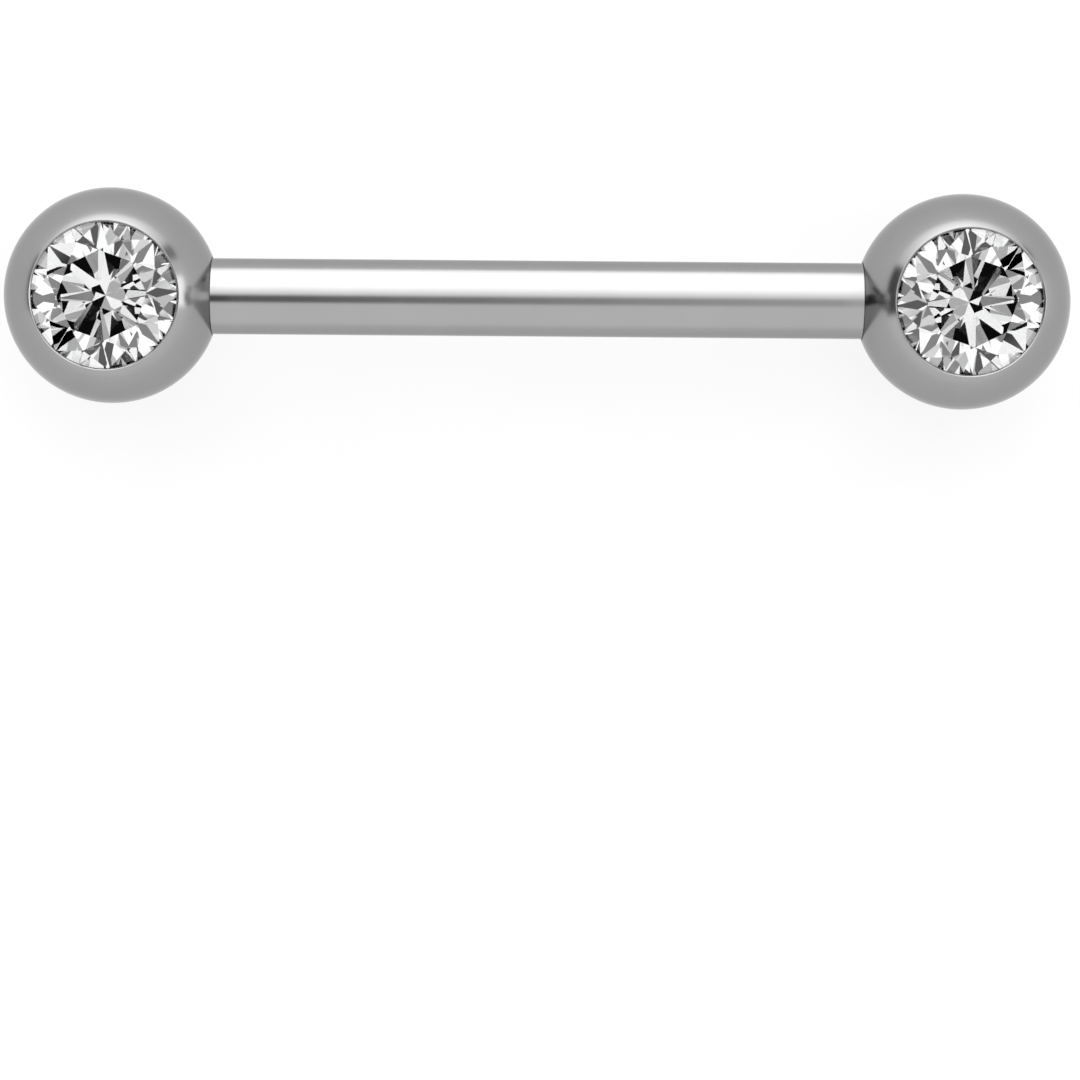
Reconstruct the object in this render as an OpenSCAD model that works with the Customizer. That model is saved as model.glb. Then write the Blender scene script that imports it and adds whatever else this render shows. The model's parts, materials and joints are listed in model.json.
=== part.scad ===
// Straight piercing barbell, in millimetres.
// A polished bar runs along X with its middle at the origin. Each end is a short screw that holds a ball,
// and each ball has a round brilliant stone set in its face, looking up along +Z.

/* [Bar] */
// Diameter of the bar, 14 gauge
bar_d = 1.63; // [1.5:0.01:2]
// Length of the bar between the two shoulders that the balls seat on
bar_len = 14; // [8:0.5:24]

/* [Screw ends] */
// Diameter of the screw over its crests
screw_d = 1.2; // [1:0.05:1.25]
// Distance from one crest to the next
screw_pitch = 0.25; // [0.2:0.05:0.3]
// Length of each screw end, from the shoulder to its tip
screw_len = 1.25; // [0.8:0.05:1.3]

/* [Balls] */
// Diameter of each ball
ball_d = 4.63; // [4.5:0.01:5.2]
// How far the shoulder sinks below the ball's surface
ball_sink = 0.05; // [0.03:0.01:0.1]

/* [Stones] */
// Diameter of a stone over its girdle
stone_d = 3.14; // [2.8:0.01:3.16]
// Width of the table across its corners, as a share of the stone's diameter
table_share = 0.606; // [0.5:0.002:0.62]
// Slope of the kite facets on the crown, in degrees
crown_angle = 38; // [31:0.5:39]
// Slope of the main facets on the pavilion, in degrees
pavilion_angle = 40.7; // [39:0.1:42]
// Turn of the stones' facets about their own axis, in degrees
stone_turn = 3.5; // [-22:0.5:22]

/* [Hidden] */
$fn = 96;

LEFT = -1;
RIGHT = 1;
STEEL = [0.62, 0.62, 0.63];
STONE = [0.93, 0.95, 0.97, 0.6];

bar_r = bar_d / 2;
half_len = bar_len / 2;
ball_r = ball_d / 2;
stone_r = stone_d / 2;

// Clearances: of the shoulder on its seat, round the screw, and round the stone
shoulder_gap = 0.02;
screw_gap = 0.03;
stone_gap = 0.03;

// Edge breaks
shoulder_edge = 0.03;
hole_edge = 0.05;
rim_edge = 0.05;

// Screw form: 60 degree flanks between root and crest, with the places along a turn as shares of the pitch.
// The turns are drawn as rings, and stand for one right-hand thread.
root_end = 0.125;
crest_start = 0.4375;
crest_end = 0.5625;
root_start = 0.875;
relief_len = 0.13;
tip_len = 0.1;
crest_r = screw_d / 2;
root_r = crest_r - screw_pitch * (crest_start - root_end) / tan(30);
TURN = [[root_r, root_end], [crest_r, crest_start], [crest_r, crest_end], [root_r, root_start]];
screw_turns = floor((screw_len - relief_len - tip_len) / screw_pitch);

// Places along a ball's own axis: the shoulder's seat, and the end of the screw hole
seat_x = sqrt(ball_r * ball_r - bar_r * bar_r) - ball_sink;
hole_end_x = seat_x - screw_len - hole_edge;
hole_r = crest_r + screw_gap;
ball_x = half_len + shoulder_gap + seat_x;

// Stone: the girdle's height, and the shares of the crown and of the pavilion that the stars and lower halves take
girdle_h = 0.1;
star_share = 0.51;
lower_share = 0.79;
MAINS = 8;
main_step = 360 / MAINS;
half_step = main_step / 2;

table_r = stone_r * table_share;
table_mid_r = table_r * cos(half_step);
star_r = table_mid_r + (stone_r - table_mid_r) * star_share;
lower_r = stone_r * (1 - lower_share);

// Heights of the stone's corners from the middle of its girdle
edge_z = girdle_h / 2;
table_z = edge_z + (stone_r - table_r) * tan(crown_angle);
star_z = edge_z + (stone_r - star_r * cos(half_step)) * tan(crown_angle);
lower_z = -edge_z - (stone_r - lower_r * cos(half_step)) * tan(pavilion_angle);
culet_z = -edge_z - stone_r * tan(pavilion_angle);

// Slopes of the half facets, straight out from the stone's axis
upper_slope = (star_z - edge_z) / (stone_r - star_r) / cos(half_step / 2);
lower_slope = (-edge_z - lower_z) / (stone_r - lower_r) / cos(half_step / 2);

// Heights from a ball's centre: the opening's rim, the underside of the lip, and the middle of the girdle.
// The opening is a little narrower than the stone, and its burnished lip holds the stone down.
lip_overhang = 0.04;
lip_h = 0.02;
opening_r = stone_r - lip_overhang;
rim_z = sqrt(ball_r * ball_r - opening_r * opening_r) - rim_edge;
lip_z = rim_z - lip_h;
girdle_z = lip_z - stone_gap - lip_overhang * tan(crown_angle) - edge_z;

// Steps of the girdle's edge along one half facet, and all the way round
EDGE_STEPS = 3;
EDGE_COUNT = 2 * MAINS * EDGE_STEPS;

// Where each ring of corners starts in the list of the stone's corners
table = 0;
star = table + MAINS;
upper_edge = star + MAINS;
lower_edge = upper_edge + EDGE_COUNT;
lower = lower_edge + EDGE_COUNT;
culet = lower + MAINS;

// One ring of corners round Z, with its first one turned from +X
function ring(r, z, turn) = [for (k = [0 : MAINS - 1]) let (a = turn + k * main_step) [r * cos(a), r * sin(a), z]];

// One edge of the girdle, side 1 above and -1 below. It dips from the tips of the kites or mains,
// where the girdle cuts the planes of the half facets.
function girdle_edge(side, slope) = [
    for (i = [0 : EDGE_COUNT - 1])
        let (a = i * half_step / EDGE_STEPS, dip = cos(a % half_step - half_step / 2) - cos(half_step / 2))
            [stone_r * cos(a), stone_r * sin(a), side * (edge_z - slope * stone_r * dip)]
];

// Outline of one screw end from the bar's edge to its tip, as [radius, distance along the bar]
function screw_outline() = concat(
    [[bar_r, half_len - shoulder_edge], [bar_r - shoulder_edge, half_len], [root_r, half_len]],
    [for (k = [0 : screw_turns - 1], p = TURN)
        [p[0], half_len + relief_len + (k + p[1]) * screw_pitch]],
    [[root_r, half_len + screw_len - tip_len / 2], [root_r - tip_len / 2, half_len + screw_len],
     [0, half_len + screw_len]]
);

function mirrored(points) = [for (k = [len(points) - 1 : -1 : 0]) [points[k][0], -points[k][1]]];

module bar() {
    color(STEEL)
        rotate([0, 90, 0])
            rotate_extrude()
                polygon(concat(mirrored(screw_outline()), screw_outline()));
}

// Hole for the screw, along +X from a ball's centre: bore, edge break, and the sunk seat for the shoulder
module screw_hole() {
    seat_r = bar_r + screw_gap;
    rotate([0, 90, 0])
        rotate_extrude()
            polygon([[0, hole_end_x], [hole_r, hole_end_x], [hole_r, seat_x - hole_edge],
                     [hole_r + hole_edge, seat_x], [seat_r, seat_x], [seat_r, ball_r], [0, ball_r]]);
}

// Pocket for the stone, along +Z from a ball's centre: cone for the pavilion, wall, lip, opening and broken rim
module stone_pocket() {
    pocket_r = stone_r + stone_gap;
    rotate_extrude()
        polygon([[0, girdle_z + culet_z - 2 * stone_gap], [pocket_r, girdle_z - edge_z - 2 * stone_gap],
                 [pocket_r, lip_z - stone_gap], [opening_r, lip_z], [opening_r, rim_z],
                 [opening_r + ball_r - rim_z, ball_r], [0, ball_r]]);
}

module ball(side) {
    color(STEEL)
        translate([side * ball_x, 0, 0])
            difference() {
                sphere(r = ball_r);
                mirror([side == RIGHT ? 1 : 0, 0, 0])
                    screw_hole();
                stone_pocket();
            }
}

// Number of the corner on an edge of the girdle that is some steps round from tip k
function edge_corner(edge, k, steps) = edge + (2 * EDGE_STEPS * k + steps) % EDGE_COUNT;

// Facets from tip k to tip n, the next one round, as numbers of corners that run clockwise as seen from outside
function facets(k, n) = concat(
    [[table + k, table + n, star + k]],
    [[table + n, star + n, edge_corner(upper_edge, n, 0), star + k]],
    [for (half = [0, EDGE_STEPS])
        concat([star + k], [for (s = [EDGE_STEPS : -1 : 0]) edge_corner(upper_edge, k, half + s)])],
    [for (s = [0 : 2 * EDGE_STEPS - 1])
        [edge_corner(upper_edge, k, s), edge_corner(upper_edge, k, s + 1),
         edge_corner(lower_edge, k, s + 1), edge_corner(lower_edge, k, s)]],
    [for (half = [0, EDGE_STEPS])
        concat([lower + k], [for (s = [0 : EDGE_STEPS]) edge_corner(lower_edge, k, half + s)])],
    [[culet, lower + k, edge_corner(lower_edge, n, 0), lower + n]]
);

// Round brilliant: table, stars, kites and upper halves, the girdle, then lower halves and mains
module brilliant() {
    corners = concat(
        ring(table_r, table_z, 0), ring(star_r, star_z, half_step),
        girdle_edge(1, upper_slope), girdle_edge(-1, lower_slope),
        ring(lower_r, lower_z, half_step), [[0, 0, culet_z]]
    );
    table_facet = [for (k = [MAINS - 1 : -1 : 0]) table + k];
    polyhedron(corners, concat([table_facet], [for (k = [0 : MAINS - 1], f = facets(k, (k + 1) % MAINS)) f]));
}

module stone(side) {
    color(STONE)
        translate([side * ball_x, 0, girdle_z])
            rotate([0, 0, stone_turn])
                brilliant();
}

bar();
ball(LEFT);  // ball_left
ball(RIGHT);  // ball_right
stone(LEFT);  // stone_left
stone(RIGHT);  // stone_right
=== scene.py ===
"""Looks of a straight piercing barbell: polished steel, screw-on balls, and a brilliant stone in each ball.

Everything is in metres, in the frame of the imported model. The bar runs along X, the stones look up along +Z,
and the balls rest on the floor.
"""

import json
import math

import bmesh
import bpy
from mathutils import Euler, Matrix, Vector


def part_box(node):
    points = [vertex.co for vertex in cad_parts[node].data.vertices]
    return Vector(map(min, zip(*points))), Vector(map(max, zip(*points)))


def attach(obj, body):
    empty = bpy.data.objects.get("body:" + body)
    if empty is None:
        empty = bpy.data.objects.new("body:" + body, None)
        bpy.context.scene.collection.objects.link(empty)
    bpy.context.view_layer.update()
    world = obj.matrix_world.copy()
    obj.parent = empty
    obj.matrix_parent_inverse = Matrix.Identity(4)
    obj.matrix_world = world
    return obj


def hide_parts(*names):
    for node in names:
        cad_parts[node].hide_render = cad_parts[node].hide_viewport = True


bl_info = {
    "name": "Piercing Barbell",
    "version": (1, 0, 0),
    "blender": (4, 5, 0),
    "location": "3D View > Sidebar > Barbell",
    "description": "Builds a straight piercing barbell with stone-set balls, and a pale studio round it",
    "category": "Object",
}

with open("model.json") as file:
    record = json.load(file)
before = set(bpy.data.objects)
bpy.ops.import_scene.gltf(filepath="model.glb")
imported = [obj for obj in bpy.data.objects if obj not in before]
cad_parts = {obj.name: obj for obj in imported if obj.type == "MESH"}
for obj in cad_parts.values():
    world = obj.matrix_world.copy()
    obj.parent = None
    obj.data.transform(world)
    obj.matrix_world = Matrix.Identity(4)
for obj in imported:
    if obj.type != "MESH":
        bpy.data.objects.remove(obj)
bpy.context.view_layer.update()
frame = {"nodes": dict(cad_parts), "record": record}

MM = 0.001
ENDS = {"left": -1, "right": 1}
BAR_MOUNT = frame["record"]["mounts"][0]

# Room round the screws and at the bar's shoulders, and how deep the shoulders sit in the balls
SCREW_CLEARANCE = 0.03 * MM
SHOULDER_CLEARANCE = 0.02 * MM
BALL_SINK = 0.05 * MM

# Screws: segments to a turn, how much of the plain bar an end's outline takes in, the bar's broken edge, the
# cone from the neck up to the crests, how far the flat tip stays inside the roots, and the countersink of
# the holes
THREAD_SEGMENTS = 80
PLAIN_LENGTH = 0.5 * MM
BROKEN_EDGE = 0.03 * MM
NECK_CONE = 0.6
TIP_INSET = 0.05 * MM
COUNTERSINK = 0.05 * MM

# Heights that differ by less than this share of a thread's step count as the same
STEP_TOLERANCE = 0.001

# Balls: segments round them, steps up their skin, the lip round the opening with its slope in degrees and how
# far its underside drops, how far below the girdle the pocket's wall ends, the room under the stone,
# and how far the tool of the screw hole stands out
BALL_SEGMENTS = 192
SKIN_STEPS = 88
LIP_WIDTH = 0.055 * MM
LIP_SLOPE = 30
LIP_DROP = 0.03 * MM
POCKET_WALL = 0.11 * MM
CULET_ROOM = 0.06 * MM
TOOL_REACH = 0.5 * MM

# Stones: heights of the girdle and the culet over a ball's centre, and half the height of the matt belt
GIRDLE_HEIGHT = 1.5561 * MM
CULET_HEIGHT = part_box("stone_left")[0].z
HALF_BELT = 0.035 * MM

# Edges that turn by more degrees than this stay sharp
SHARP_DEGREES = 28

# Grain of the finishes, in features to the metre, and how high the polishing marks stand
CLOUDS, POLISHING_MARKS, FINE_MARKS, GROOVES = 900.0, 9000.0, 16000.0, 5000.0
STONE_GRAIN, FLOOR_GRAIN = 20000.0, 400.0
MARK_HEIGHT = 4e-8

# How far the floor reaches from its middle, along the bar and across it
FLOOR_ALONG = 0.045
FLOOR_ACROSS = 0.036

# Flags that only the stones see: how many go round in a ring, and the rings' edges in degrees from the zenith
FLAG_COUNT = 18
FLAG_RINGS = (10.5, 23, 48, 57.5, 78, 82.5)

# Camera: its height, its lens in millimetres, and in degrees how it tips about X and Y and rolls
CAMERA_HEIGHT = 0.08198
CAMERA_LENS = 126.8
CAMERA_TIP = (-3.63, -0.07)
CAMERA_ROLL = 0.446


class BarbellSizes(bpy.types.PropertyGroup):
    """Sizes of the barbell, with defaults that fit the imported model."""

    bar_radius: bpy.props.FloatProperty(
        name="Bar Radius", description="Radius of the plain bar",
        default=BAR_MOUNT["dims"]["r_mm"] * MM, precision=6, subtype="DISTANCE", unit="LENGTH")
    bar_length: bpy.props.FloatProperty(
        name="Bar Length", description="Length of the bar between the shoulders that the balls seat on",
        default=BAR_MOUNT["mate_length_mm"] * MM, precision=6, subtype="DISTANCE", unit="LENGTH")
    crest_radius: bpy.props.FloatProperty(
        name="Screw Crest Radius", description="Radius of each screw end over its crests",
        default=0.6 * MM, precision=6, subtype="DISTANCE", unit="LENGTH")
    root_radius: bpy.props.FloatProperty(
        name="Screw Root Radius", description="Radius of each screw end at its roots",
        default=0.4647 * MM, precision=6, subtype="DISTANCE", unit="LENGTH")
    screw_length: bpy.props.FloatProperty(
        name="Screw Length", description="Length of each screw end from the shoulder to its tip",
        default=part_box("bar")[1].x - BAR_MOUNT["mate_length_mm"] * MM / 2,
        precision=6, subtype="DISTANCE", unit="LENGTH")
    pitch: bpy.props.FloatProperty(
        name="Screw Pitch", description="Distance along the screw from one crest to the next",
        default=0.25 * MM, precision=6, subtype="DISTANCE", unit="LENGTH")
    ball_radius: bpy.props.FloatProperty(
        name="Ball Radius", description="Radius of each ball",
        default=-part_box("ball_left")[0].z, precision=6, subtype="DISTANCE", unit="LENGTH")
    opening_radius: bpy.props.FloatProperty(
        name="Opening Radius", description="Radius of the opening that a stone looks out of",
        default=1.53 * MM, precision=6, subtype="DISTANCE", unit="LENGTH")
    pocket_radius: bpy.props.FloatProperty(
        name="Pocket Radius", description="Radius of the pocket under the lip, with room round the girdle",
        default=1.6 * MM, precision=6, subtype="DISTANCE", unit="LENGTH")


class BarbellFinishes(bpy.types.PropertyGroup):
    """Colours and finishes of the steel, the stones and the floor."""

    steel_colour: bpy.props.FloatVectorProperty(
        name="Steel Colour", description="Colour of the polished steel",
        default=(0.3125, 0.3125, 0.3155), size=3, min=0, max=1, subtype="COLOR")
    steel_roughness: bpy.props.FloatProperty(
        name="Steel Roughness", description="Roughness of the polished steel",
        default=0.17, min=0, max=1, subtype="FACTOR")
    stone_colour: bpy.props.FloatVectorProperty(
        name="Stone Colour", description="Tint of the clear stones",
        default=(0.985, 0.99, 0.99), size=3, min=0, max=1, subtype="COLOR")
    stone_ior: bpy.props.FloatProperty(
        name="Stone IOR", description="How strongly the stones bend light",
        default=2.42, min=1, max=3)
    floor_colour: bpy.props.FloatVectorProperty(
        name="Floor Colour", description="Colour of the pale floor",
        default=(0.13, 0.13, 0.13), size=3, min=0, max=1, subtype="COLOR")


class Value:
    """One output of a node. Arithmetic on it adds Math nodes to its tree."""

    def __init__(self, graph, socket):
        self.graph = graph
        self.socket = socket

    def at(self, name):
        """Another output of the same node."""
        return Value(self.graph, self.socket.node.outputs[name])

    def math(self, operation, *others):
        values = {i: v for i, v in enumerate((self, *others))}
        return self.graph.add("ShaderNodeMath", {"operation": operation}, values)

    def __add__(self, other):
        return self.math("ADD", other)

    def __sub__(self, other):
        return self.math("SUBTRACT", other)

    def __mul__(self, other):
        return self.math("MULTIPLY", other)

    def __truediv__(self, other):
        return self.math("DIVIDE", other)

    def __rsub__(self, other):
        return self.graph.add("ShaderNodeMath", {"operation": "SUBTRACT"}, {0: other, 1: self})

    __radd__ = __add__
    __rmul__ = __mul__

    def __pow__(self, other):
        return self.math("POWER", other)

    def __abs__(self):
        return self.math("ABSOLUTE")

    def __gt__(self, other):
        return self.math("GREATER_THAN", other)

    def ramp(self, start, end, low=0.0, high=1.0):
        """Goes smoothly from low to high as the value goes from start to end."""
        return self.graph.add(
            "ShaderNodeMapRange", {"interpolation_type": "SMOOTHSTEP"},
            {"Value": self, "From Min": start, "From Max": end, "To Min": low, "To Max": high})

    def between(self, start, end, soft):
        """1 between start and end, with edges that are soft on both sides of them."""
        return self.ramp(start - soft, start + soft) * self.ramp(end + soft, end - soft)

    def blend(self, other, share):
        """This number where share is 0, and the other where share is 1."""
        return self + (other - self) * share


class Graph:
    """A node tree that is being built. One method adds any node."""

    def __init__(self, tree):
        self.tree = tree
        tree.nodes.clear()

    def add(self, kind, settings=None, sockets=None, out=0):
        """Adds a node of that type. Settings are its own properties, and sockets hold values or links."""
        node = self.tree.nodes.new(kind)
        for name, value in (settings or {}).items():
            setattr(node, name, value)
        for name, value in (sockets or {}).items():
            if isinstance(value, Value):
                self.tree.links.new(value.socket, node.inputs[name])
            else:
                node.inputs[name].default_value = value
        return Value(self, node.outputs[out]) if len(node.outputs) else None


def arc(centre, radius, start, end, steps):
    """Points of an arc as (radius, height), with angles in degrees from the outward direction."""
    angles = [math.radians(start + (end - start) * i / steps) for i in range(steps + 1)]
    return [(centre[0] + radius * math.cos(a), centre[1] + radius * math.sin(a)) for a in angles]


def rounded(corners, steps=5):
    """Outline through corners given as (radius, height, rounding)."""
    outline = []
    for i, (r, h, rounding) in enumerate(corners):
        here = Vector((r, h))
        if rounding == 0 or i in (0, len(corners) - 1):
            outline.append((r, h))
            continue
        back = (Vector(corners[i - 1][:2]) - here).normalized()
        on = (Vector(corners[i + 1][:2]) - here).normalized()
        half = back.angle(on) / 2
        middle = here + (back + on).normalized() * (rounding / math.sin(half))
        first = (here + back * (rounding / math.tan(half)) - middle).normalized()
        last = (here + on * (rounding / math.tan(half)) - middle).normalized()
        for k in range(steps + 1):
            outline.append(tuple(middle + first.slerp(last, k / steps) * rounding))
    return outline


def lathe(name, outline, segments, place, slant=0, step=0.0):
    """Closed mesh object that an outline of (radius, height) points makes as it turns. place puts a point
    given by radius, height, cosine and sine in the frame. Faces between rings that lie one step apart slant
    by that many segments, so that their sides run along a thread."""
    points, rings = [], []
    for r, h in outline:
        if r < 1e-9:
            rings.append([len(points)] * segments)
            points.append(place(0, h, 1, 0))
            continue
        rings.append(range(len(points), len(points) + segments))
        for k in range(segments):
            a = 2 * math.pi * k / segments
            points.append(place(r, h, math.cos(a), math.sin(a)))
    faces = []
    rises = [abs(b[1] - a[1]) for a, b in zip(outline, outline[1:])]
    for low, high, rise in zip(rings, rings[1:], rises):
        ahead = slant if abs(rise - step) < step * STEP_TOLERANCE else 0
        for k in range(segments):
            n = (k + 1) % segments
            face = dict.fromkeys((low[k], low[n], high[(n + ahead) % segments], high[(k + ahead) % segments]))
            if len(face) > 2:
                faces.append(tuple(face))
    mesh = bpy.data.meshes.new(name)
    mesh.from_pydata(points, [], faces)
    shape = bmesh.new()
    shape.from_mesh(mesh)
    bmesh.ops.recalc_face_normals(shape, faces=shape.faces)
    shape.to_mesh(mesh)
    shape.free()
    made = bpy.data.objects.new(name, mesh)
    bpy.context.scene.collection.objects.link(made)
    return made


def settle(made):
    """Turns an object with its modifiers into a plain mesh."""
    depsgraph = bpy.context.evaluated_depsgraph_get()
    mesh = bpy.data.meshes.new_from_object(made.evaluated_get(depsgraph), depsgraph=depsgraph)
    made.modifiers.clear()
    old = made.data
    made.data = mesh
    bpy.data.meshes.remove(old)
    mesh.name = made.name


def smooth(mesh):
    """Smooth shading that keeps the sharp edges."""
    mesh.shade_smooth()
    mesh.set_sharp_from_angle(angle=math.radians(SHARP_DEGREES))


def thread_tree():
    """Geometry Nodes that cut a right-hand screw thread into a turned blank whose axis is X.

    The crest and the root have the widths of a standard 60 degree thread. A mouth radius above 0 leaves
    a countersink from the start of the thread.
    """
    tree = bpy.data.node_groups.new("cut_thread", "GeometryNodeTree")
    tree.interface.new_socket("Blank", in_out="INPUT", socket_type="NodeSocketGeometry")
    for name in ("Pitch", "Crest Radius", "Root Radius", "Start", "Mouth Radius"):
        tree.interface.new_socket(name, in_out="INPUT", socket_type="NodeSocketFloat")
    tree.interface.new_socket("Steel", in_out="INPUT", socket_type="NodeSocketMaterial")
    tree.interface.new_socket("Screw", in_out="OUTPUT", socket_type="NodeSocketGeometry")

    graph = Graph(tree)
    asked = graph.add("NodeGroupInput")
    x = graph.add("ShaderNodeSeparateXYZ", {}, {"Vector": graph.add("GeometryNodeInputPosition")})
    y, z = x.at("Y"), x.at("Z")
    radius = (y * y + z * z) ** 0.5
    turns = z.math("ARCTAN2", y) / (2 * math.pi)
    off_crest = abs((x / asked.at("Pitch") - turns).math("FRACT") - 0.5)
    thread = graph.add("ShaderNodeMapRange", {}, {
        "Value": off_crest, "From Min": 1 / 16, "From Max": 3 / 8,
        "To Min": asked.at("Crest Radius"), "To Max": asked.at("Root Radius")})
    depth = abs(x) - asked.at("Start")
    past_start = depth > 1e-7
    cut = radius.math("MINIMUM", thread).math("MAXIMUM", asked.at("Mouth Radius") - depth)
    share = cut / radius
    moved = graph.add("ShaderNodeCombineXYZ", {}, {"X": x, "Y": y * share, "Z": z * share})
    screw = graph.add("GeometryNodeSetPosition", {}, {
        "Geometry": asked.at("Blank"), "Selection": past_start, "Position": moved})
    plain = graph.add("GeometryNodeRealizeInstances", {}, {"Geometry": screw})
    done = graph.add("GeometryNodeSetMaterial", {}, {"Geometry": plain, "Material": asked.at("Steel")})
    graph.add("NodeGroupOutput", {}, {"Screw": done})
    return tree


def cut_thread(made, tree, **inputs):
    """Runs the thread tree on an object, with inputs by name."""
    modifier = made.modifiers.new("thread", "NODES")
    modifier.node_group = tree
    for socket in tree.interface.items_tree:
        if socket.name in inputs:
            modifier[socket.identifier] = inputs[socket.name]
    settle(made)


def ball_centre(sizes):
    """Distance from the middle of the bar to a ball's centre."""
    seat_to_centre = math.sqrt(sizes.ball_radius ** 2 - sizes.bar_radius ** 2) - BALL_SINK
    return sizes.bar_length / 2 + SHOULDER_CLEARANCE + seat_to_centre


def thread_step(sizes):
    """How far the thread rises over one segment."""
    return sizes.pitch / THREAD_SEGMENTS


def thread_rows(sizes, start, end):
    """Distances from the bar's middle of rings one thread step apart, counted from the shoulder."""
    step = thread_step(sizes)
    half = sizes.bar_length / 2
    first = math.floor((start - half) / step + STEP_TOLERANCE) + 1
    last = math.ceil((end - half) / step - STEP_TOLERANCE)
    return [half + k * step for k in range(first, last)]


def end_outline(sizes):
    """Outline of one end of the bar as (radius, distance from the bar's middle), up to its tip."""
    half = sizes.bar_length / 2
    tip = half + sizes.screw_length
    crest, root = sizes.crest_radius, sizes.root_radius
    tip_radius = root - TIP_INSET
    neck_end = half + sizes.pitch / 2
    shoulder = rounded([
        (sizes.bar_radius, half - PLAIN_LENGTH, 0),
        (sizes.bar_radius, half, BROKEN_EDGE),
        (root, half, 0.02 * MM),
        (root, neck_end, 0),
    ])
    blank = [(min(crest, root + (d - neck_end) / NECK_CONE, tip_radius + tip - d), d)
             for d in thread_rows(sizes, neck_end, tip - 0.01 * MM)]
    face = rounded([(*blank[-1], 0), (tip_radius, tip, 0.015 * MM), (0, tip, 0)])
    return shoulder + blank + face[1:]


def make_bar(sizes, tree, steel):
    """The bar with both screw ends, turned in one piece and then threaded."""
    outline = end_outline(sizes)
    whole = [(r, -h) for r, h in reversed(outline)] + outline
    bar = lathe("steel_bar", whole, THREAD_SEGMENTS, lambda r, h, c, s: (h, r * c, r * s),
                slant=1, step=thread_step(sizes))
    cut_thread(bar, tree, **{
        "Pitch": sizes.pitch, "Crest Radius": sizes.crest_radius, "Root Radius": sizes.root_radius,
        "Start": sizes.bar_length / 2, "Mouth Radius": 0.0, "Steel": steel})
    smooth(bar.data)
    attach(bar, "bar")
    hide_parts("bar")


def ball_outline(sizes):
    """Outline of a ball and its pocket, from the lowest point, as (radius, height over the ball's centre)."""
    radius, opening = sizes.ball_radius, sizes.opening_radius
    rim = opening + LIP_WIDTH
    rim_angle = math.degrees(math.acos(rim / radius))
    skin = arc((0, 0), radius, -90, rim_angle, SKIN_STEPS)
    rim_height = skin[-1][1]
    lip = rim_height - LIP_WIDTH * math.tan(math.radians(LIP_SLOPE))
    edge = rounded([
        (*skin[-2], 0),
        (rim, rim_height, 0.02 * MM),
        (opening, lip, 0.006 * MM),
        (sizes.pocket_radius, lip - LIP_DROP, 0.01 * MM),
        (sizes.pocket_radius, GIRDLE_HEIGHT - POCKET_WALL, 0.03 * MM),
        (0, CULET_HEIGHT - CULET_ROOM, 0),
    ])
    return [(0, -radius)] + skin[1:-2] + edge


def hole_outline(sizes):
    """Outline of the tool that makes a ball's screw hole, as (radius, distance from the bar's middle)."""
    seat = sizes.bar_length / 2 + SHOULDER_CLEARANCE
    bore = sizes.crest_radius + SCREW_CLEARANCE
    seat_radius = sizes.bar_radius + SCREW_CLEARANCE
    bore_start = seat + COUNTERSINK
    end = bore_start + sizes.screw_length
    mouth = ball_centre(sizes) - math.sqrt(sizes.ball_radius ** 2 - seat_radius ** 2) + 0.02 * MM
    recess = rounded([
        (0, mouth - TOOL_REACH, 0),
        (seat_radius + TOOL_REACH, mouth - TOOL_REACH, 0),
        (seat_radius, mouth, 0.006 * MM),
        (seat_radius, seat, 0.008 * MM),
        (bore + COUNTERSINK, seat, 0),
        (bore, bore_start, 0),
    ])
    bored = [(bore, d) for d in thread_rows(sizes, bore_start, end - 0.04 * MM)]
    bottom = rounded([(*bored[-1], 0), (bore, end, 0.03 * MM), (0, end, 0)])
    return recess + bored + bottom[1:]


def make_ball(sizes, tree, side_name, steel):
    """One ball with its pocket, and with its screw hole cut by a threaded tool."""
    side = ENDS[side_name]
    centre = side * ball_centre(sizes)
    ball = lathe(f"steel_ball_{side_name}", ball_outline(sizes), BALL_SEGMENTS,
                 lambda r, h, c, s: (centre + r * c, r * s, h))
    ball.data.materials.append(steel)
    tool = lathe(f"hole_tool_{side_name}", hole_outline(sizes), THREAD_SEGMENTS,
                 lambda r, h, c, s: (side * h, r * c, r * s), slant=side, step=thread_step(sizes))
    cut_thread(tool, tree, **{
        "Pitch": sizes.pitch, "Crest Radius": sizes.crest_radius + SCREW_CLEARANCE,
        "Root Radius": sizes.root_radius + SCREW_CLEARANCE,
        "Start": sizes.bar_length / 2 + SHOULDER_CLEARANCE,
        "Mouth Radius": sizes.crest_radius + SCREW_CLEARANCE + COUNTERSINK, "Steel": steel})
    drill = ball.modifiers.new("screw_hole", "BOOLEAN")
    drill.operation = "DIFFERENCE"
    drill.solver = "EXACT"
    drill.object = tool
    settle(ball)
    bpy.data.objects.remove(tool)
    smooth(ball.data)
    round_skin(ball.data, Vector((centre, 0, 0)), sizes.ball_radius)
    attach(ball, f"{side_name}_end")
    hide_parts(f"ball_{side_name}")


def round_skin(mesh, centre, radius):
    """Gives a ball's outside the normals of a true sphere, so that reflections run smoothly over it."""
    tolerance = 1e-6
    normals = [Vector(c.vector) for c in mesh.corner_normals]
    spokes = [v.co - centre for v in mesh.vertices]
    for face in mesh.polygons:
        if all(abs(spokes[v].length - radius) < tolerance for v in face.vertices):
            for corner in face.loop_indices:
                normals[corner] = spokes[mesh.loops[corner].vertex_index].normalized()
    mesh.normals_split_custom_set(normals)


def object_place(graph, centre, scale=(1, 1, 1)):
    """Object coordinates from a piece's own centre, stretched by a scale."""
    seen = graph.add("ShaderNodeTexCoord", out="Object")
    back = tuple(-c * s for c, s in zip(centre, scale))
    return graph.add("ShaderNodeMapping", {"vector_type": "POINT"}, {
        "Vector": seen, "Location": back, "Scale": scale})


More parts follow.
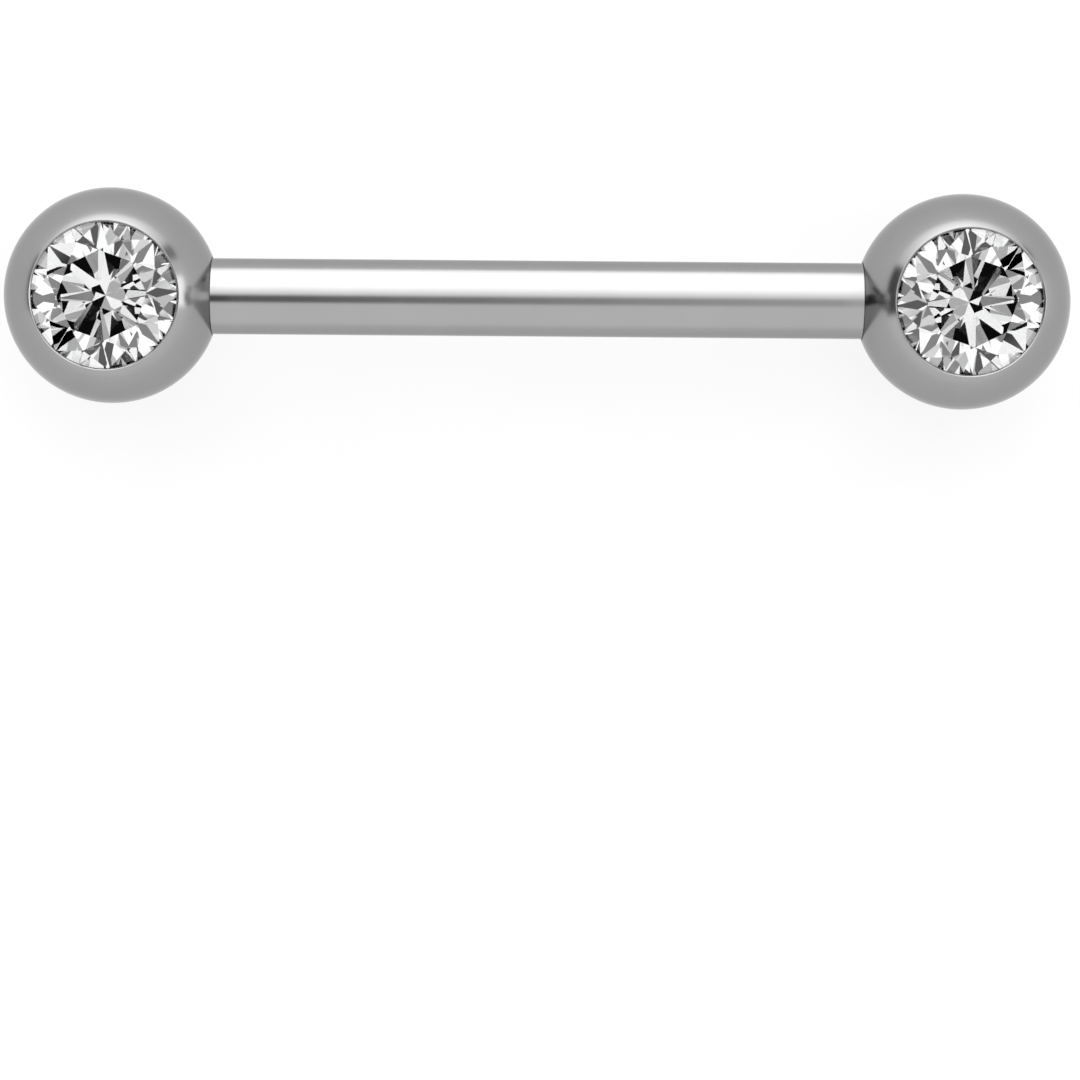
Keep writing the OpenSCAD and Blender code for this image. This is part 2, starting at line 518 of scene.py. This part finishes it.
def noise(graph, place, scale, detail=2.0, roughness=0.5):
    return graph.add("ShaderNodeTexNoise", {"noise_dimensions": "3D"}, {
        "Vector": place, "Scale": scale, "Detail": detail, "Roughness": roughness})


def shade(colour, share):
    """A colour made darker or paler, with an alpha of 1."""
    return (*[c * share for c in colour], 1)


def mixed(graph, share, first, second):
    """Colour that goes from the first to the second as share goes from 0 to 1."""
    return graph.add("ShaderNodeMix", {"data_type": "RGBA"},
                     {"Factor": share, "A": first, "B": second}, out="Result")


def steel_material(name, finishes, centre, machined):
    """Polished steel with faint polishing marks, and a duller turned finish where machined says so.

    machined takes the graph and gives a mask that is 1 on the turned surfaces.
    """
    material = bpy.data.materials.new(name)
    material.use_nodes = True
    graph = Graph(material.node_tree)
    cloudy = noise(graph, object_place(graph, centre), CLOUDS, 3.0)
    marks = noise(graph, object_place(graph, centre, (6, 1, 1)), POLISHING_MARKS, 4.0, 0.6)
    fine = noise(graph, object_place(graph, centre, (1, 5, 2)), FINE_MARKS, 2.0)
    turned = machined(graph)
    grooves = noise(graph, object_place(graph, centre, (14, 1, 1)), GROOVES, 3.0)
    base = finishes.steel_colour
    pale = mixed(graph, cloudy, shade(base, 0.95), shade(base, 1.05))
    colour = mixed(graph, turned * 0.5, pale, shade(base, 0.7))
    shine = finishes.steel_roughness + (cloudy - 0.5) * 0.03 + (marks - 0.5) * 0.03 + (fine - 0.5) * 0.02
    rough = shine.blend(0.3 + (grooves - 0.5) * 0.2, turned)
    height = (marks * 0.6 + fine * 0.4).blend(grooves * 6.0, turned)
    bump = graph.add("ShaderNodeBump", {}, {"Strength": 1.0, "Distance": MARK_HEIGHT, "Height": height})
    graph.add("ShaderNodeOutputMaterial", {}, {"Surface": graph.add("ShaderNodeBsdfPrincipled", {}, {
        "Base Color": colour, "Metallic": 1.0, "Roughness": rough, "Normal": bump,
        "Specular Tint": (0.75, 0.75, 0.75, 1)})})
    return material


def screw_mask(sizes):
    """Mask of the bar's screw ends, which stay as turned."""
    def mask(graph):
        x = graph.add("ShaderNodeSeparateXYZ", {}, {"Vector": object_place(graph, (0, 0, 0))})
        half = sizes.bar_length / 2
        return abs(x).ramp(half - 0.01 * MM, half + 0.01 * MM)
    return mask


def inside_mask(sizes, centre):
    """Mask of a ball's pocket and screw hole, which lie under its skin."""
    def mask(graph):
        distance = graph.add("ShaderNodeVectorMath", {"operation": "LENGTH"},
                             {0: object_place(graph, centre)}, out="Value")
        return distance.ramp(sizes.ball_radius - 0.05 * MM, sizes.ball_radius - 0.07 * MM)
    return mask


def stone_material(name, finishes, centre):
    """Clear stone with polished facets, and a girdle that is left matt."""
    material = bpy.data.materials.new(name)
    material.use_nodes = True
    graph = Graph(material.node_tree)
    place = object_place(graph, centre)
    z = graph.add("ShaderNodeSeparateXYZ", {}, {"Vector": place}).at("Z")
    grain = noise(graph, place, STONE_GRAIN, 2.0)
    belt = z.between(GIRDLE_HEIGHT - HALF_BELT, GIRDLE_HEIGHT + HALF_BELT, 0.004 * MM)
    rough = belt * (0.3 + (grain - 0.5) * 0.2)
    tint = finishes.stone_colour
    colour = mixed(graph, belt * grain, shade(tint, 1), shade(tint, 0.9))
    graph.add("ShaderNodeOutputMaterial", {}, {"Surface": graph.add("ShaderNodeBsdfPrincipled", {}, {
        "Base Color": colour, "Roughness": rough, "IOR": finishes.stone_ior,
        "Transmission Weight": 1.0})})
    return material


def floor_material(finishes):
    """Pale matt acrylic, lit from below so that shadows on it stay faint, with a faint grain."""
    material = bpy.data.materials.new("pale_floor")
    material.use_nodes = True
    graph = Graph(material.node_tree)
    grain = noise(graph, object_place(graph, (0, 0, 0)), FLOOR_GRAIN, 3.0)
    base = finishes.floor_colour
    colour = mixed(graph, grain, shade(base, 0.985), shade(base, 1.015))
    graph.add("ShaderNodeOutputMaterial", {}, {"Surface": graph.add("ShaderNodeBsdfPrincipled", {}, {
        "Base Color": colour, "Roughness": 0.4 + grain * 0.04, "Specular IOR Level": 0.02,
        "Emission Color": colour, "Emission Strength": 6.3})})
    return material


class Sky:
    """Studio walls and lights, drawn on the world as seen from the barbell."""

    def __init__(self, graph):
        self.graph = graph
        seen = graph.add("ShaderNodeTexCoord", out="Generated")
        self.ray = graph.add("ShaderNodeVectorMath", {"operation": "NORMALIZE"}, {0: seen})
        x = graph.add("ShaderNodeSeparateXYZ", {}, {"Vector": self.ray})
        self.x, self.y, self.z = x, x.at("Y"), x.at("Z")
        self.across = self.y.math("ARCTAN2", self.z) * math.degrees(1)
        self.along = self.x.math("ARCSINE") * math.degrees(1)
        self.light = None

    def paint(self, level, mask):
        self.light = self.light.blend(level, mask)

    def card(self, level, azimuth, elevation, width, height, soft=0.05):
        """A flat card that faces the barbell, seen at an azimuth from +X and an elevation, in degrees.
        Width, height and softness are shares of its distance."""
        a, e = math.radians(azimuth), math.radians(elevation)
        to = Vector((math.cos(a) * math.cos(e), math.sin(a) * math.cos(e), math.sin(e)))
        side = Vector((-math.sin(a), math.cos(a), 0))
        up = to.cross(side)

        def reach(axis):
            return self.graph.add("ShaderNodeVectorMath", {"operation": "DOT_PRODUCT"},
                                  {0: self.ray, 1: tuple(axis)}, out="Value")
        depth = reach(to)
        mask = (reach(side) / depth).between(-width / 2, width / 2, soft)
        mask = mask * (reach(up) / depth).between(-height / 2, height / 2, soft)
        self.paint(level, mask * (depth > 0.05))


def flag_rings(sky):
    """Rings of flags round the zenith, black and grey in turn, that give the facets their contrast."""
    sky.light = sky.z.ramp(0.0, 0.1, 0.3, 1.32)
    zenith = sky.z.math("ARCCOSINE") * math.degrees(1)
    turns = sky.y.math("ARCTAN2", sky.x) * (FLAG_COUNT / (2 * math.pi))
    for k, (inner, outer) in enumerate(zip(FLAG_RINGS, FLAG_RINGS[1:])):
        flags = (turns + 0.25 + 0.33 * k).math("FRACT").between(0.22, 0.78, 0.03)
        sky.paint(0.6 * (k % 2), flags * zenith.between(inner, outer, 1))
    sky.paint(0.02, zenith.ramp(FLAG_RINGS[0] + 1, FLAG_RINGS[0] - 1))


def studio_walls(sky):
    """Pale walls with a softbox on the +Y side, a slit over the bar that is dark towards -X, and cards at its
    ends: white ones high and low at +X, black ones high and low at -X, and a grey one low beside +X."""
    sky.light = sky.z.ramp(-0.2, 0.2, 1.185, 1.33)
    softbox = sky.across.ramp(-6, 42) * sky.along.ramp(-70, -5) * sky.along.ramp(60, 0)
    sky.paint(sky.z.ramp(-0.15, 0.25, 2.2, 3.54), softbox)
    slit = sky.across.between(-17.5, 4, 5)
    sky.paint(sky.along.ramp(-6, 6, 0.1, 1.04), slit)
    sky.card(3.33, 0, 34, 0.36, 0.56)
    sky.card(0.05, 174, 34, 0.42, 0.56)
    sky.card(2.9, 4, 9, 0.44, 0.32)
    sky.card(0.1, 171, 3, 0.72, 0.32)
    sky.card(0.4, 37, 4, 0.22, 0.34, soft=0.06)


def studio_world():
    """World of the studio: flags for the stones' sharp rays, plain white for what the camera sees directly,
    and walls for all other rays."""
    world = bpy.data.worlds.new("studio")
    world.use_nodes = True
    graph = Graph(world.node_tree)
    steel_sees = Sky(graph)
    studio_walls(steel_sees)
    stones_see = Sky(graph)
    flag_rings(stones_see)
    path = graph.add("ShaderNodeLightPath")
    walls = graph.add("ShaderNodeBackground", {}, {"Color": steel_sees.light})
    for level, rays in ((stones_see.light, "Is Singular Ray"), ((1, 1, 1, 1), "Is Camera Ray")):
        other = graph.add("ShaderNodeBackground", {}, {"Color": level})
        walls = graph.add("ShaderNodeMixShader", {}, {0: path.at(rays), 1: walls, 2: other})
    graph.add("ShaderNodeOutputWorld", {}, {"Surface": walls})
    bpy.context.scene.world = world


def make_floor(sizes, finishes):
    """Plain plate that the barbell lies on. Low light reaches the steel from beyond its edges."""
    mesh = bpy.data.meshes.new("floor")
    shape = bmesh.new()
    bmesh.ops.create_grid(shape, x_segments=8, y_segments=8, size=1)
    bmesh.ops.scale(shape, verts=shape.verts, vec=(FLOOR_ALONG, FLOOR_ACROSS, 1))
    bmesh.ops.translate(shape, verts=shape.verts, vec=(0, 0, -sizes.ball_radius))
    shape.to_mesh(mesh)
    shape.free()
    mesh.materials.append(floor_material(finishes))
    floor = bpy.data.objects.new("floor", mesh)
    bpy.context.scene.collection.objects.link(floor)


def make_camera():
    """Camera straight above the bar, tipped so that the barbell lies in the upper part of the frame."""
    data = bpy.data.cameras.new("camera")
    data.sensor_width = 36
    data.lens = CAMERA_LENS
    data.clip_start = 0.005
    data.clip_end = 5
    camera = bpy.data.objects.new("camera", data)
    camera.location = (0, 0, CAMERA_HEIGHT)
    tip = Euler((math.radians(CAMERA_TIP[0]), math.radians(CAMERA_TIP[1]), 0), "XYZ").to_matrix()
    roll = Euler((0, 0, math.radians(CAMERA_ROLL)), "XYZ").to_matrix()
    camera.rotation_euler = (tip @ roll).to_euler()
    bpy.context.scene.collection.objects.link(camera)
    bpy.context.scene.camera = camera


class BARBELL_OT_bar(bpy.types.Operator):
    """Make the polished bar with a screw thread on each end."""

    bl_idname = "barbell.bar"
    bl_label = "Make Bar"

    def execute(self, context):
        sizes, finishes = context.scene.barbell_sizes, context.scene.barbell_finishes
        steel = steel_material("bar_steel", finishes, (0, 0, 0), screw_mask(sizes))
        make_bar(sizes, thread_tree(), steel)
        return {"FINISHED"}


class BARBELL_OT_balls(bpy.types.Operator):
    """Make the two balls, each with its stone's pocket and its screw hole."""

    bl_idname = "barbell.balls"
    bl_label = "Make Balls"

    def execute(self, context):
        sizes, finishes = context.scene.barbell_sizes, context.scene.barbell_finishes
        tree = thread_tree()
        for side_name, side in ENDS.items():
            centre = (side * ball_centre(sizes), 0, 0)
            steel = steel_material(f"ball_steel_{side_name}", finishes, centre, inside_mask(sizes, centre))
            make_ball(sizes, tree, side_name, steel)
        return {"FINISHED"}


class BARBELL_OT_stones(bpy.types.Operator):
    """Finish the two stones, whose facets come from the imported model."""

    bl_idname = "barbell.stones"
    bl_label = "Finish Stones"

    def execute(self, context):
        sizes, finishes = context.scene.barbell_sizes, context.scene.barbell_finishes
        for side_name, side in ENDS.items():
            centre = (side * ball_centre(sizes), 0, 0)
            stone = frame["nodes"][f"stone_{side_name}"]
            clear = stone_material(f"clear_stone_{side_name}", finishes, centre)
            for material_slot in stone.material_slots:
                material_slot.material = clear
        return {"FINISHED"}


class BARBELL_OT_stage(bpy.types.Operator):
    """Make the floor, the studio light and the camera."""

    bl_idname = "barbell.stage"
    bl_label = "Make Stage"

    def execute(self, context):
        sizes, finishes = context.scene.barbell_sizes, context.scene.barbell_finishes
        make_floor(sizes, finishes)
        studio_world()
        make_camera()
        context.scene.view_settings.view_transform = "Standard"
        return {"FINISHED"}


class BARBELL_PT_panel(bpy.types.Panel):
    """Sizes, finishes and steps of the barbell."""

    bl_idname = "BARBELL_PT_panel"
    bl_label = "Piercing Barbell"
    bl_space_type = "VIEW_3D"
    bl_region_type = "UI"
    bl_category = "Barbell"

    def draw(self, context):
        for group in (context.scene.barbell_sizes, context.scene.barbell_finishes):
            box = self.layout.box()
            for name in group.bl_rna.properties.keys():
                if name not in ("rna_type", "name"):
                    box.prop(group, name)
        for operator in STEPS:
            self.layout.operator(operator.bl_idname)


STEPS = (BARBELL_OT_stage, BARBELL_OT_bar, BARBELL_OT_balls, BARBELL_OT_stones)
CLASSES = (BarbellSizes, BarbellFinishes, *STEPS, BARBELL_PT_panel)


def register():
    for kind in CLASSES:
        bpy.utils.register_class(kind)
    bpy.types.Scene.barbell_sizes = bpy.props.PointerProperty(type=BarbellSizes)
    bpy.types.Scene.barbell_finishes = bpy.props.PointerProperty(type=BarbellFinishes)


def unregister():
    del bpy.types.Scene.barbell_finishes
    del bpy.types.Scene.barbell_sizes
    for kind in reversed(CLASSES):
        bpy.utils.unregister_class(kind)


def main():
    register()
    bpy.ops.barbell.stage()
    bpy.ops.barbell.bar()
    bpy.ops.barbell.balls()
    bpy.ops.barbell.stones()


if __name__ == "__main__":
    main()
